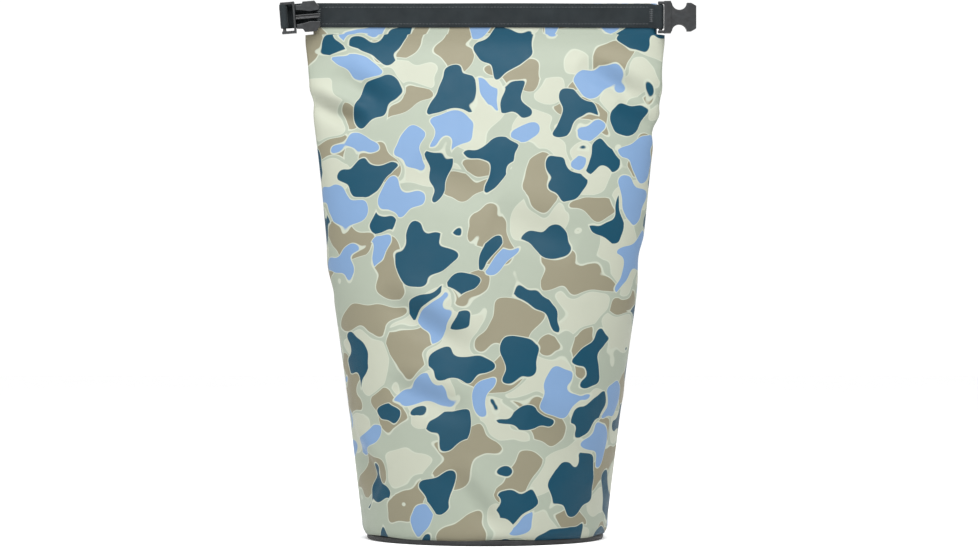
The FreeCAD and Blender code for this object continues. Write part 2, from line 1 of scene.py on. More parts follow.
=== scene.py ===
"""The looks of a roll-top insulated cooler bag, built round its CAD frame.

Metres, +Z up, +X to the right, front towards -Y."""

import json
import math

import bmesh
import bpy
import numpy as np
from mathutils import Matrix, Vector, noise
from mathutils.bvhtree import BVHTree


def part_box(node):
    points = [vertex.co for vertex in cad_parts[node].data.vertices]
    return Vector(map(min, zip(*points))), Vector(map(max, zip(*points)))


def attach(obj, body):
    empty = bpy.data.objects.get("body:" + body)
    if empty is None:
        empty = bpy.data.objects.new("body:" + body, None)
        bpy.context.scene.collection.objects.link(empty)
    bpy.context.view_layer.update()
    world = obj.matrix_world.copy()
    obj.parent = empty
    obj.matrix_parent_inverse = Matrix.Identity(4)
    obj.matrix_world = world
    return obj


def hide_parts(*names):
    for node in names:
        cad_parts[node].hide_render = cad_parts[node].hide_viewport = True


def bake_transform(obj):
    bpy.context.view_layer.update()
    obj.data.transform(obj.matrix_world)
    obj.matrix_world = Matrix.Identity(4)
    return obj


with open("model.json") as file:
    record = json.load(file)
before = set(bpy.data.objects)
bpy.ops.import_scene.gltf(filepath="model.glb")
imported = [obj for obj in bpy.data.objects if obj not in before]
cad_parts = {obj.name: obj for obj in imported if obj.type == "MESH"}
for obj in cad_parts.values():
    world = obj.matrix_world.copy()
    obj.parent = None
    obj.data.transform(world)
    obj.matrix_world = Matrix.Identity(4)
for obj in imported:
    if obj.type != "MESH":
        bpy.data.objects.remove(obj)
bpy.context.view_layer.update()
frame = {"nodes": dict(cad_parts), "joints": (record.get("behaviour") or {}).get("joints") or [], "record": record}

MM = 0.001
BODY_OF = {node: body for body, nodes in frame["record"]["behaviour"]["bodies"].items() for node in nodes}


def joint_place(name):
    return next(Vector(joint["pos_m"]) for joint in frame["joints"] if joint["name"] == name)


# Places and sizes that the pieces share, read from the frame.
SHELL_LOW, SHELL_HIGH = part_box("outer_shell")
COLLAR_LOW, COLLAR_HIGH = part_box("mouth_collar")
BAND_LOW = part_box("closure_webbing")[0]
BAND_WIDTH = 25 * MM
BAND_MIDDLE = COLLAR_HIGH.z - BAND_WIDTH / 2


# ---------------------------------------------------------------- small helpers

def smooth_step(value, low, high):
    part = min(max((value - low) / (high - low), 0), 1)
    return part * part * (3 - 2 * part)


def linear(text):
    """Linear colour of an sRGB value written as hex."""
    parts = [int(text[place:place + 2], 16) / 255 for place in (0, 2, 4)]
    return (*[part / 12.92 if part <= 0.04045 else ((part + 0.055) / 1.055) ** 2.4 for part in parts], 1)


def make_object(name, points, faces, material, corners=None):
    """A smooth-shaded mesh object. corners holds the flat-pattern place of every face corner, in metres."""
    mesh = bpy.data.meshes.new(name)
    mesh.from_pydata([tuple(point) for point in points], [], faces)
    if corners is not None:
        layer = mesh.uv_layers.new(name="flat")
        layer.data.foreach_set("uv", np.asarray(corners, np.float32).ravel())
    mesh.materials.append(material)
    mesh.shade_smooth()
    mesh.validate()
    obj = bpy.data.objects.new(name, mesh)
    bpy.context.scene.collection.objects.link(obj)
    return obj


def bake_modifiers(obj):
    """Replace the object's mesh by what its modifiers make of it."""
    depsgraph = bpy.context.evaluated_depsgraph_get()
    mesh = bpy.data.meshes.new_from_object(obj.evaluated_get(depsgraph))
    obj.modifiers.clear()
    obj.data = mesh
    mesh.shade_smooth()


def finish_piece(obj, nodes=(), body=None):
    """Ride on the body of the CAD node that the piece stands for, unless told another."""
    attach(obj, body or BODY_OF[nodes[0]])
    if nodes:
        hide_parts(*nodes)
    return obj


def finish_across_fold(obj, nodes):
    """For pieces that span the bag and the mouth that folds over: bake the piece's place into its mesh and hide
    the CAD nodes it stands for; it rides on no body.
    """
    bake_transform(obj)
    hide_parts(*nodes)


def merge_doubles(mesh):
    """Join the points that lie in one place."""
    joined = bmesh.new()
    joined.from_mesh(mesh)
    bmesh.ops.remove_doubles(joined, verts=joined.verts, dist=1e-6)
    joined.to_mesh(mesh)
    joined.free()


def add_remesh(obj, voxel):
    remesh = obj.modifiers.new("remesh", "REMESH")
    remesh.mode = "VOXEL"
    remesh.voxel_size = voxel


def surface_tree(obj):
    return BVHTree.FromPolygons([v.co for v in obj.data.vertices], [p.vertices for p in obj.data.polygons])


# ---------------------------------------------------------------- materials

def set_input(tree, socket, value):
    """Link the socket to another one, or give it a value of its own."""
    if isinstance(value, bpy.types.NodeSocket):
        tree.links.new(value, socket)
    else:
        socket.default_value = value


def add(tree, kind, settings=None, **inputs):
    """Add a shader node. Inputs are set or linked by name; _0, _1 mean the first and second socket."""
    node = tree.nodes.new("ShaderNode" + kind)
    for key, value in (settings or {}).items():
        setattr(node, key, value)
    for key, value in inputs.items():
        socket = node.inputs[int(key[1:])] if key[0] == "_" else node.inputs[key.replace("_", " ")]
        set_input(tree, socket, value)
    return node


def calculate(tree, operation, first, second=0.0):
    return add(tree, "Math", {"operation": operation}, _0=first, _1=second).outputs[0]


def layer_over(tree, factor, under, over):
    node = tree.nodes.new("ShaderNodeMix")
    node.data_type = "RGBA"
    for name, kind, value in (("Factor", "VALUE", factor), ("A", "RGBA", under), ("B", "RGBA", over)):
        set_input(tree, next(s for s in node.inputs if s.name == name and s.type == kind), value)
    return next(s for s in node.outputs if s.type == "RGBA")


def ramp(tree, value, from_low, from_high, to_low, to_high):
    names = {"From_Min": from_low, "From_Max": from_high, "To_Min": to_low, "To_Max": to_high}
    return add(tree, "MapRange", Value=value, **names).outputs[0]


def start_material(name, **constants):
    """A new material, its node tree and shader; constants go on the shader's own sockets."""
    material = bpy.data.materials.new(name)
    material.use_nodes = True
    tree = material.node_tree
    shader = tree.nodes["Principled BSDF"]
    for key, value in constants.items():
        shader.inputs[key.replace("_", " ")].default_value = value
    return material, tree, shader


def flat_place(tree):
    """Place on the cut cloth, in metres."""
    return add(tree, "UVMap", {"uv_map": "flat"}).outputs[0]


def object_place(tree):
    return add(tree, "TexCoord").outputs["Object"]


def grain(tree, place, scale, detail=2.0, roughness=0.5):
    return add(tree, "TexNoise", Vector=place, Scale=scale, Detail=detail, Roughness=roughness).outputs[0]


def set_bump(tree, shader, height, distance, strength=1.0):
    bump = add(tree, "Bump", Height=height, Distance=distance, Strength=strength)
    tree.links.new(bump.outputs[0], shader.inputs["Normal"])


def link_in(tree, value, shader, name):
    tree.links.new(value, shader.inputs[name])


BENDS = [(0.9, 1.0), (2.0, 0.5)]  # how often the print's shapes bend, and how far, in cells
SCATTER = 0.62  # how far a cell's middle may lie from its place in the grid, in cells
STRETCH = 1.08  # cells are this much longer along one axis, and narrower across it
BETWEEN = 0.035  # half the ground left between two neighbouring shapes, in cells
GROUND_INK = "7e8579"
OUTLINE_INK = "92978a"
OUTLINE_WIDTH = 1.4 * MM
PRINT_EDGE = 0.25 * MM  # how soft the edge of an ink is
CAMOUFLAGE = [
    # seed, cell size, turn in degrees, then the ink of the even and of the odd cells: share of those
    # cells that are printed, size in cells, hex value
    (2, 0.052, 15, [(0.78, 0.50, "8f9285"), (0.88, 0.47, "6c6857")]),
    (9, 0.046, 40, [(0.88, 0.47, "003244"), (0.62, 0.44, "5c7593")]),
]


def lattice(tree, flat, seed, cell, turn):
    """A layer's cells, bent so that what fills them has lobes: distance to a cell's middle, to its edge,
    the cell's own random number, and whether it is an odd one of the chequered rows of cells."""
    place = add(
        tree,
        "Mapping",
        {"vector_type": "TEXTURE"},
        Vector=flat,
        Location=(seed * 0.37, seed * 0.61, 0),
        Rotation=(0, 0, math.radians(turn)),
        Scale=(cell * STRETCH, cell / STRETCH, cell),
    ).outputs[0]
    bent = place
    for scale, reach in BENDS:
        bend = add(tree, "TexNoise", {"noise_dimensions": "2D"}, Vector=place, Scale=scale, Detail=0)
        amount = (reach, reach, 0)
        settings = {"operation": "MULTIPLY_ADD"}
        bent = add(tree, "VectorMath", settings, _0=bend.outputs["Color"], _1=amount, _2=bent).outputs[0]
    middle, edge = (
        add(
            tree,
            "TexVoronoi",
            {"voronoi_dimensions": "2D", "feature": feature},
            Vector=bent,
            Randomness=SCATTER,
            Scale=1,
        )
        for feature in ("F1", "DISTANCE_TO_EDGE")
    )
    number = add(tree, "SeparateColor", Color=middle.outputs["Color"]).outputs[0]
    corner = add(tree, "VectorMath", {"operation": "FLOOR"}, _0=middle.outputs["Position"]).outputs[0]
    steps = add(tree, "SeparateXYZ", Vector=corner).outputs
    odd = calculate(tree, "PINGPONG", calculate(tree, "ADD", steps[0], steps[1]), 1.0)
    return middle.outputs["Distance"], edge.outputs["Distance"], number, odd


def inside(tree, field, limit, softness):
    """1 where the field is under the limit, 0 where it is over."""
    return ramp(tree, field, limit + softness, limit - softness, 0.0, 1.0)


def threads(tree, flat, axis, pitch):
    """A wave of one thread pitch along the first or second axis of the cut cloth."""
    along = add(tree, "SeparateXYZ", Vector=flat).outputs[axis]
    return calculate(tree, "SINE", calculate(tree, "MULTIPLY", along, 2 * math.pi / pitch))


def camouflage_skin():
    """Coated cloth printed with rounded shapes in four inks, each with a thin pale outline.

    The weave of the cloth shows through the coat."""
    material, tree, shader = start_material("camouflage_skin", Specular_IOR_Level=0.13)
    flat = flat_place(tree)
    colour = linear(GROUND_INK)
    for seed, cell, turn, inks in CAMOUFLAGE:
        middle, edge, number, odd = lattice(tree, flat, seed, cell, turn)
        soft = PRINT_EDGE / cell
        outline = OUTLINE_WIDTH / cell
        for which, (share, size, ink) in enumerate(inks):
            out_of_cell = calculate(tree, "SUBTRACT", BETWEEN, edge)
            field = calculate(tree, "MAXIMUM", calculate(tree, "SUBTRACT", middle, size), out_of_cell)
            chosen = calculate(
                tree,
                "MULTIPLY",
                calculate(tree, "COMPARE", odd, which),
                calculate(tree, "LESS_THAN", number, share),
            )
            around = calculate(tree, "MULTIPLY", inside(tree, field, 0.0, soft), chosen)
            colour = layer_over(tree, around, colour, linear(OUTLINE_INK))
            within = calculate(tree, "MULTIPLY", inside(tree, field, -outline, soft), chosen)
            colour = layer_over(tree, within, colour, linear(ink))
    handled = ramp(tree, grain(tree, flat, 14, 4), 0.35, 0.7, 0.0, 0.04)
    colour = layer_over(tree, handled, colour, linear("5d5c52"))
    link_in(tree, colour, shader, "Base Color")
    link_in(tree, ramp(tree, grain(tree, flat, 60, 3), 0.3, 0.7, 0.42, 0.56), shader, "Roughness")
    pitch = 1.1 * MM
    weave = calculate(tree, "MULTIPLY", threads(tree, flat, 0, pitch), threads(tree, flat, 1, pitch))
    coat = calculate(tree, "MULTIPLY", grain(tree, flat, 240, 3), 2.2)
    set_bump(tree, shader, calculate(tree, "ADD", weave, coat), 0.00008, 0.5)
    return material


def woven(name, ink, pale, pitch=1.3 * MM, sheen=0.12):
    """Webbing or tape: a plain weave with fuzz and uneven dye, with painted highlights on its raised threads and
    painted shade between them.
    """
    constants = {"Sheen_Weight": sheen, "Sheen_Roughness": 0.5, "Specular_IOR_Level": 0.15}
    material, tree, shader = start_material(name, **constants)
    flat = flat_place(tree)
    weave = calculate(tree, "MULTIPLY", threads(tree, flat, 0, pitch * 1.3), threads(tree, flat, 1, pitch))
    # painted highlight on the raised threads and painted shade in the dips between them
    raised = ramp(tree, weave, -1, 1, 0, 0.55)
    uneven = ramp(tree, grain(tree, flat, 35, 4), 0.3, 0.75, 0.0, 0.35)
    colour = layer_over(tree, calculate(tree, "ADD", raised, uneven), linear(ink), linear(pale))
    link_in(tree, colour, shader, "Base Color")
    link_in(tree, ramp(tree, grain(tree, flat, 90), 0.3, 0.7, 0.62, 0.8), shader, "Roughness")
    fuzz = calculate(tree, "MULTIPLY", grain(tree, flat, 1500, 2), 0.8)
    set_bump(tree, shader, calculate(tree, "ADD", weave, fuzz), 0.00012, 0.7)
    return material


def moulded(name, ink, pale, roughness):
    """Injection-moulded plastic: spark-eroded grain, rubbed a little paler in patches."""
    material, tree, shader = start_material(name, Specular_IOR_Level=0.5)
    place = object_place(tree)
    rubbed = ramp(tree, grain(tree, place, 130, 5, 0.65), 0.45, 0.75, 0.0, 0.6)
    link_in(tree, layer_over(tree, rubbed, linear(ink), linear(pale)), shader, "Base Color")
    spread = ramp(tree, grain(tree, place, 220, 3), 0.3, 0.7, roughness - 0.06, roughness + 0.08)
    link_in(tree, spread, shader, "Roughness")
    set_bump(tree, shader, grain(tree, place, 2600, 2), 0.00004, 0.6)
    return material


def pebbled(name, ink, pale):
    """Coated base cloth with a pebble grain."""
    material, tree, shader = start_material(name, Specular_IOR_Level=0.4)
    place = object_place(tree)
    pebbles = add(tree, "TexVoronoi", Vector=place, Scale=700).outputs["Distance"]
    scuffed = ramp(tree, grain(tree, place, 45, 5, 0.6), 0.5, 0.75, 0.0, 0.7)
    link_in(tree, layer_over(tree, scuffed, linear(ink), linear(pale)), shader, "Base Color")
    link_in(tree, ramp(tree, pebbles, 0.0, 0.7, 0.45, 0.7), shader, "Roughness")
    set_bump(tree, shader, pebbles, 0.0003, 0.8)
    return material


def cellular(name, ink, pale, scale, depth):
    """Foam or knitted spacer cloth: small cells, with painted shade darkening their hollows."""
    material, tree, shader = start_material(name, Sheen_Weight=0.15, Specular_IOR_Level=0.25)
    place = object_place(tree)
    cells = add(tree, "TexVoronoi", Vector=place, Scale=scale).outputs["Distance"]
    # painted shade: each cell's hollow is darker, paler towards its rim
    hollow_shade = ramp(tree, cells, 0.1, 0.6, 0.0, 0.8)
    cloudy = ramp(tree, grain(tree, place, 25, 3), 0.3, 0.7, 0.0, 0.25)
    colour = layer_over(tree, calculate(tree, "ADD", hollow_shade, cloudy), linear(ink), linear(pale))
    link_in(tree, colour, shader, "Base Color")
    link_in(tree, ramp(tree, cells, 0, 0.7, 0.9, 0.7), shader, "Roughness")
    set_bump(tree, shader, cells, depth, 0.8)
    return material


def film(name, ink, pale):
    """Welded liner film: smooth, a little cloudy, finely creased."""
    constants = {"Coat_Weight": 0.2, "Coat_Roughness": 0.25, "Specular_IOR_Level": 0.5}
    material, tree, shader = start_material(name, **constants)
    place = object_place(tree)
    cloudy = ramp(tree, grain(tree, place, 22, 4), 0.3, 0.7, 0.0, 0.7)
    link_in(tree, layer_over(tree, cloudy, linear(ink), linear(pale)), shader, "Base Color")
    link_in(tree, ramp(tree, grain(tree, place, 70, 3), 0.3, 0.7, 0.28, 0.42), shader, "Roughness")
    set_bump(tree, shader, grain(tree, place, 55, 6, 0.65), 0.0008, 0.5)
    return material


def twisted_thread(name, ink, pale):
    """Polyester sewing thread: the strands show as fine slanting bands, with painted shade in the grooves between
    them.
    """
    material, tree, shader = start_material(name, Sheen_Weight=0.3, Specular_IOR_Level=0.4)
    place = object_place(tree)
    strands = add(tree, "TexWave", {"bands_direction": "DIAGONAL"}, Vector=place, Scale=900, Distortion=1.0)
    # painted shade: darker in the grooves between the strands, paler on their crowns
    colour = layer_over(tree, strands.outputs["Fac"], linear(ink), linear(pale))
    link_in(tree, colour, shader, "Base Color")
    link_in(tree, ramp(tree, grain(tree, place, 500), 0.3, 0.7, 0.5, 0.7), shader, "Roughness")
    set_bump(tree, shader, strands.outputs["Fac"], 0.00006, 0.6)
    return material


SKIN = camouflage_skin()
BAND_WEB = woven("band_webbing", "0a0e10", "1b2225", sheen=0.05)
STRAP_WEB = woven("strap_webbing", "17191b", "2d3134", pitch=1.6 * MM)
TAPE = woven("binding_tape", "15171a", "2a2e31", pitch=0.9 * MM)
BUCKLE = moulded("buckle_plastic", "0d0f11", "212528", 0.34)
STIFFENER = moulded("stiffener_plastic", "d6d6d0", "b9b9b2", 0.5)
BASE = pebbled("base_fabric", "0f1011", "26282a")
FOAM = cellular("closed_cell_foam", "aeb4b8", "d5d9dc", 1100, 0.0004)
MESH = cellular("spacer_mesh", "0c0d0e", "33373a", 620, 0.0009)
FILM = film("liner_film", "b9c0c4", "dfe3e4")
THREAD = twisted_thread("sewing_thread", "1a1e20", "363c40")


# ---------------------------------------------------------------- the bag's wall

COLUMNS = 240
SEAM_FRACTION = 0.402  # how far round from the middle of the front the back seam is
GIRTH = 0.765  # length round the tube
WALL_LOW = SHELL_LOW.z - 1.3 * MM  # the skin rolls under onto the base binding
ROLL_HEIGHT = 9 * MM
ROLL_DEPTH = 2.6 * MM
SHOULDER = (COLLAR_LOW.z + 5.0 * MM, COLLAR_LOW.z + 6.1 * MM)  # from full width to the collar's length
FLATTENS = (SHOULDER[0] - 32 * MM, SHOULDER[1])  # from the tube's depth to the collar's
CALM_BASE = (6 * MM, 30 * MM)  # folds and unevenness grow from none to full between these heights
CALM_MOUTH = (488 * MM, 508 * MM)  # and fade from full to none between these
UNEVEN_SCALE = (11, 11, 8)  # lumps for each metre, across, in depth and upwards
UNEVEN_DEPTH = 1.1 * MM  # how far the cloth wanders in and out
UNEVEN_INWARD = 0.7 * MM  # how far its middle lies inside the CAD skin
SHELL_TREE = surface_tree(frame["nodes"]["outer_shell"])

FOLDS = [
    # (across, height) of one end, of the other end, half width of the crease, depth
    ((-0.196, 0.452), (-0.126, 0.424), 0.009, 0.0050),
    ((-0.160, 0.480), (-0.100, 0.440), 0.012, 0.0028),
    ((0.100, 0.490), (0.192, 0.436), 0.011, 0.0044),
    ((0.140, 0.446), (0.200, 0.412), 0.010, 0.0036),
    ((-0.112, 0.250), (-0.010, 0.190), 0.014, 0.0044),
    ((-0.104, 0.162), (-0.014, 0.130), 0.013, 0.0038),
    ((-0.036, 0.076), (0.020, 0.008), 0.011, 0.0034),
    ((0.050, 0.136), (0.124, 0.066), 0.016, 0.0030),
    ((0.010, 0.335), (0.094, 0.298), 0.018, 0.0026),
    ((-0.080, 0.380), (0.010, 0.350), 0.020, 0.0024),
    ((-0.176, 0.104), (-0.116, 0.056), 0.014, 0.0036),
    ((0.240, 0.446), (0.330, 0.408), 0.013, 0.0044),
    ((-0.340, 0.434), (-0.240, 0.398), 0.013, 0.0044),
    ((-0.360, 0.156), (-0.290, 0.106), 0.015, 0.0040),
    ((0.200, 0.116), (0.290, 0.154), 0.015, 0.0040),
    ((0.180, 0.300), (0.240, 0.250), 0.016, 0.0030),
    ((-0.250, 0.290), (-0.190, 0.240), 0.016, 0.0030),
]


def half_sizes(height):
    """Half width and half depth of the CAD skin at a height."""
    inside = min(max(height, SHELL_LOW.z + MM), SHELL_HIGH.z - MM)
    side = SHELL_TREE.ray_cast(Vector((1, 0, inside)), Vector((-1, 0, 0)))[0]
    front = SHELL_TREE.ray_cast(Vector((0, -1, inside)), Vector((0, 1, 0)))[0]
    return side.x, -front.y


def evenly(outline):
    """Points at even steps round a closed outline that starts at the front's middle, seam first."""
    steps = np.linalg.norm(np.diff(outline, axis=0), axis=1)
    travelled = np.concatenate([[0], np.cumsum(steps)])
    wanted = (SEAM_FRACTION + np.arange(COLUMNS) / COLUMNS) % 1 * travelled[-1]
    return np.stack([np.interp(wanted, travelled, outline[:, axis]) for axis in (0, 1)], axis=1)


def ellipse_outline(half_width, half_depth):
    angle = np.linspace(0, 2 * math.pi, 1441)
    return np.stack([half_width * np.sin(angle), -half_depth * np.cos(angle)], axis=1)


def stadium_outline(half_length, half_depth):
    """A slot shape: straight front and back, round ends."""
    straight = half_length - half_depth
    right = [(straight + half_depth * math.cos(a), half_depth * math.sin(a))
             for a in np.linspace(-math.pi / 2, math.pi / 2, 49)]
    left = [(-x, -y) for x, y in right]
    return np.array([(0, -half_depth), *right, *left, (0, -half_depth)])


def section(height):
    """The wall's outline at a height: an ellipse, turning into the flat mouth's slot shape at the shoulder.

    The depth changes first, over a longer stretch, and the width at the shoulder only."""
    half_width, half_depth = half_sizes(height)
    under = min(max((WALL_LOW + ROLL_HEIGHT - height) / ROLL_HEIGHT, 0), 1)
    rolled = ROLL_DEPTH * under * under
    tube = evenly(ellipse_outline(half_width - rolled, half_depth - rolled))
    mouth = evenly(stadium_outline(COLLAR_HIGH.x, COLLAR_HIGH.y))
    narrowed = smooth_step(height, *SHOULDER)
    flattened = smooth_step(height, *FLATTENS)
    return tube + (mouth - tube) * (narrowed, flattened)


FOLD_STRENGTH = 1.8  # how much deeper the folds are made than their depths in the list


def crease(across, height, fold):
    """How far a fold moves the cloth outwards: a valley with a low ridge above it."""
    (x0, z0), (x1, z1), half_width, depth = fold
    length = math.hypot(x1 - x0, z1 - z0)
    along = ((across - x0) * (x1 - x0) + (height - z0) * (z1 - z0)) / length ** 2
    aside = ((across - x0) * (z1 - z0) - (height - z0) * (x1 - x0)) / length / half_width
    if x1 > x0:
        aside = -aside
    fade = np.sin(math.pi * np.clip(along, 0, 1)) ** 0.7
    valley = -np.exp(-aside ** 2)
    ridge = 0.45 * np.exp(-(aside - 1.7) ** 2)
    return FOLD_STRENGTH * depth * fade * (valley + ridge)


def outward_normals(grid):
    around = np.roll(grid, -1, axis=1) - np.roll(grid, 1, axis=1)
    upward = np.gradient(grid, axis=0)
    normals = np.cross(around, upward)
    return normals / np.linalg.norm(normals, axis=2, keepdims=True)


# Heights of the wall's rows of points, closer together at the shoulder.
HEIGHTS = np.unique(np.concatenate([
    np.linspace(WALL_LOW, SHOULDER[0] - 1.2 * MM, 130),
    np.linspace(SHOULDER[0] - 0.6 * MM, SHOULDER[1] + 0.6 * MM, 9),
    np.linspace(SHOULDER[1] + 3 * MM, COLLAR_HIGH.z, 8),
]))
ROWS = len(HEIGHTS)
ROUND = SEAM_FRACTION + np.arange(COLUMNS) / COLUMNS  # share of the girth from the front's middle
ACROSS = ((ROUND + 0.5) % 1 - 0.5) * GIRTH  # distance round the bag from the front's middle

# The skin's lower edge waves up and down a little, and shows more or less of the binding.
TURN = ACROSS * 2 * math.pi / GIRTH  # angle round the bag
HEM_LIFT = 0.6 * MM * (1 + np.sin(5 * TURN + 0.6) + 0.5 * np.sin(11 * TURN))
HEM_HEIGHT = 20 * MM  # how high up the wave reaches


def make_wall_grid():
    """Rows of points on the outside of the skin, with its folds and unevenness."""
    grid = np.zeros((ROWS, COLUMNS, 3))
    for row, height in enumerate(HEIGHTS):
        grid[row, :, :2] = section(height)
        grid[row, :, 2] = height + HEM_LIFT * (1 - smooth_step(height, WALL_LOW, HEM_HEIGHT))
    normals = outward_normals(grid)
    across, height = np.meshgrid(ACROSS, HEIGHTS)
    moved = sum(crease(across, height, fold) for fold in FOLDS)
    uneven = np.array([[noise.noise(Vector(point * UNEVEN_SCALE)) for point in line] for line in grid])
    moved = moved + UNEVEN_DEPTH * uneven - UNEVEN_INWARD
    share = np.array([smooth_step(h, *CALM_BASE) * (1 - smooth_step(h, *CALM_MOUTH)) for h in HEIGHTS])
    return grid + normals * (moved * share[:, None])[:, :, None]


WALL = make_wall_grid()
NORMALS = outward_normals(WALL)


def inset_wall(inset):
    """The wall's grid moved inwards, row by row, without passing the bag's middle plane."""
    depth = np.array([inset(height) for height in HEIGHTS])[:, None]
    moved = WALL - NORMALS * depth[:, :, None]
    side = np.sign(WALL[:, :, 1])
    least = 0.25 * np.abs(WALL[:, :, 1])
    moved[:, :, 1] = side * np.maximum(side * moved[:, :, 1], least)
    return moved


def make_wall_layer(name, low, high, outer_inset, inner_inset, material):
    """A closed shell between two insets of the wall, from one height to another."""
    rows = [row for row, height in enumerate(HEIGHTS) if low <= height <= high]
    outer = inset_wall(outer_inset)[rows]
    inner = inset_wall(inner_inset)[rows]
    count = len(rows)
    points = np.concatenate([outer.reshape(-1, 3), inner.reshape(-1, 3)])
    faces, corners = [], []

    def place(layer, row, column):
        return (layer * count + row) * COLUMNS + column % COLUMNS

    def flat(row, column):
        return ((SEAM_FRACTION + column / COLUMNS) * GIRTH, HEIGHTS[rows[row]])

    def add_face(*spots):
        faces.append([place(*spot) for spot in spots])
        corners.extend(flat(row, column) for _, row, column in spots)

    for column in range(COLUMNS):
        after = column + 1
        for row in range(count - 1):
            up = row + 1
            add_face((0, row, column), (0, row, after), (0, up, after), (0, up, column))
            add_face((1, up, column), (1, up, after), (1, row, after), (1, row, column))
        top = count - 1
        add_face((0, top, column), (0, top, after), (1, top, after), (1, top, column))
        add_face((1, 0, column), (1, 0, after), (0, 0, after), (0, 0, column))
    return make_object(name, points, faces, material, corners)


# How far behind the outside of the skin the layers start and end.
SKIN_INSIDE = 1.2 * MM
FOAM_OUTSIDE = 1.6 * MM
FOAM_INSIDE = 8.4 * MM
LINER_BEHIND_FOAM = 9.0 * MM
LINER_BEHIND_SKIN = 1.8 * MM
LINER_THICKNESS = 0.6 * MM
FOAM_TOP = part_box("insulation_wall")[1].z
MOUTH_INSET = COLLAR_HIGH.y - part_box("collar_liner")[1].y


def liner_inset(height):
    """Behind the foam low down, just behind the skin above it, behind the stiffeners at the mouth."""
    above_foam = smooth_step(height, FOAM_TOP, FOAM_TOP + 8 * MM)
    at_mouth = smooth_step(height, 495 * MM, COLLAR_LOW.z)
    inset = LINER_BEHIND_FOAM + (LINER_BEHIND_SKIN - LINER_BEHIND_FOAM) * above_foam
    return inset + (MOUTH_INSET - LINER_BEHIND_SKIN) * at_mouth


def make_walls():
    mouth = COLLAR_HIGH.z
    skin = make_wall_layer("skin", 0, mouth, lambda z: 0, lambda z: SKIN_INSIDE, SKIN)
    finish_across_fold(skin, ["outer_shell", "mouth_collar"])
    foam_low = SHELL_LOW.z + 2 * MM
    foam = make_wall_layer(
        "wall_foam", foam_low, FOAM_TOP, lambda z: FOAM_OUTSIDE, lambda z: FOAM_INSIDE, FOAM
    )
    finish_piece(foam, ["insulation_wall"])
    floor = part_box("liner_floor")[0].z
    liner = make_wall_layer(
        "liner", floor, mouth - 0.5 * MM, liner_inset, lambda z: liner_inset(z) + LINER_THICKNESS, FILM
    )
    finish_across_fold(liner, ["inner_liner", "collar_liner"])
    return skin


# ---------------------------------------------------------------- base

def lathe(name, profile, material, steps=180, wobble=0.0):
    """A body of revolution from (radius, height) pairs round a closed section, or from the axis out."""
    on_axis = profile[0][0] == 0
    points, faces = [], []
    for step in range(steps):
        angle = 2 * math.pi * step / steps
        ease = 1 + wobble * math.sin(3 * angle + 0.7) + wobble * math.sin(7 * angle) / 2
        points += [(r * ease * math.cos(angle), r * ease * math.sin(angle), z) for r, z in profile]
    count = len(profile)
    for step in range(steps):
        here, there = step * count, (step + 1) % steps * count
        for k in range(count - 1 if on_axis else count):
            after = (k + 1) % count
            faces.append([here + k, there + k, there + after, here + after])
    obj = make_object(name, points, faces, material)
    if on_axis:
        merge_doubles(obj.data)
    return obj


def rounded_section(low, high, radius, arc_steps=5):
    """A rectangle of (radius, height) with rounded corners, as a closed section."""
    (r0, z0), (r1, z1) = low, high
    centres = [(r1 - radius, z0 + radius, -90), (r1 - radius, z1 - radius, 0),
               (r0 + radius, z1 - radius, 90), (r0 + radius, z0 + radius, 180)]
    return [
        (r + radius * math.cos(math.radians(start + 90 * k / arc_steps)),
         z + radius * math.sin(math.radians(start + 90 * k / arc_steps)))
        for r, z, start in centres for k in range(arc_steps + 1)
    ]


def disc_section(radius, low, high, edge, arc_steps=5):
    """Half a disc's section, from the axis round its outside and back to the axis."""
    rim = [
        (radius - edge + edge * math.cos(math.radians(-90 + 180 * k / (2 * arc_steps))),
         (low + high) / 2 + (high - low) / 2 * math.sin(math.radians(-90 + 180 * k / (2 * arc_steps))))
        for k in range(2 * arc_steps + 1)
    ]
    inner = [radius * share for share in (0.3, 0.6, 0.85)]
    below_face = [(0, low), *[(r, low) for r in inner]]
    above_face = [*[(r, high) for r in reversed(inner)], (0, high)]
    return below_face + rim + above_face


def make_disc_piece(name, node, edge, material):
    low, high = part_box(node)
    piece = lathe(name, disc_section(high.x, low.z, high.z, edge), material)
    return finish_piece(piece, [node])


def make_base():
    make_disc_piece("base_cover", "base_panel", 1.0 * MM, BASE)
    make_disc_piece("base_foam", "base_insulation", 5 * MM, FOAM)
    make_disc_piece("floor_film", "liner_floor", 0.4 * MM, FILM)
    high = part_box("base_binding_ring")[1]
    inner_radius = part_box("base_panel")[1].x + 0.3 * MM
    section_points = rounded_section((inner_radius, 0), (high.x, high.z), 2.4 * MM)
    ring = lathe("base_binding", section_points, BASE, wobble=0.0006)
    finish_piece(ring, ["base_binding_ring"])


# ---------------------------------------------------------------- webbing

def web_outline(width, thickness, ribs=(), steps=28):
    """A webbing's section: soft edges, and raised cords at the given shares of its half width."""
    half = width / 2

    def lift(across):
        share = abs(across) / half
        edge = math.sqrt(max(1 - share ** 9, 0))
        cords = sum(0.13 * math.exp(-((share - rib) / 0.045) ** 2) for rib in ribs)
        return thickness / 2 * (edge * (0.88 + cords))

    steps_across = [half * math.sin(math.pi * (k / steps - 0.5)) for k in range(steps + 1)]
    front = [(across, lift(across)) for across in steps_across]
    back = [(across, -lift(across)) for across in reversed(steps_across[1:-1])]
    return front + back


def unit(vectors):
    return vectors / np.linalg.norm(vectors, axis=-1, keepdims=True)


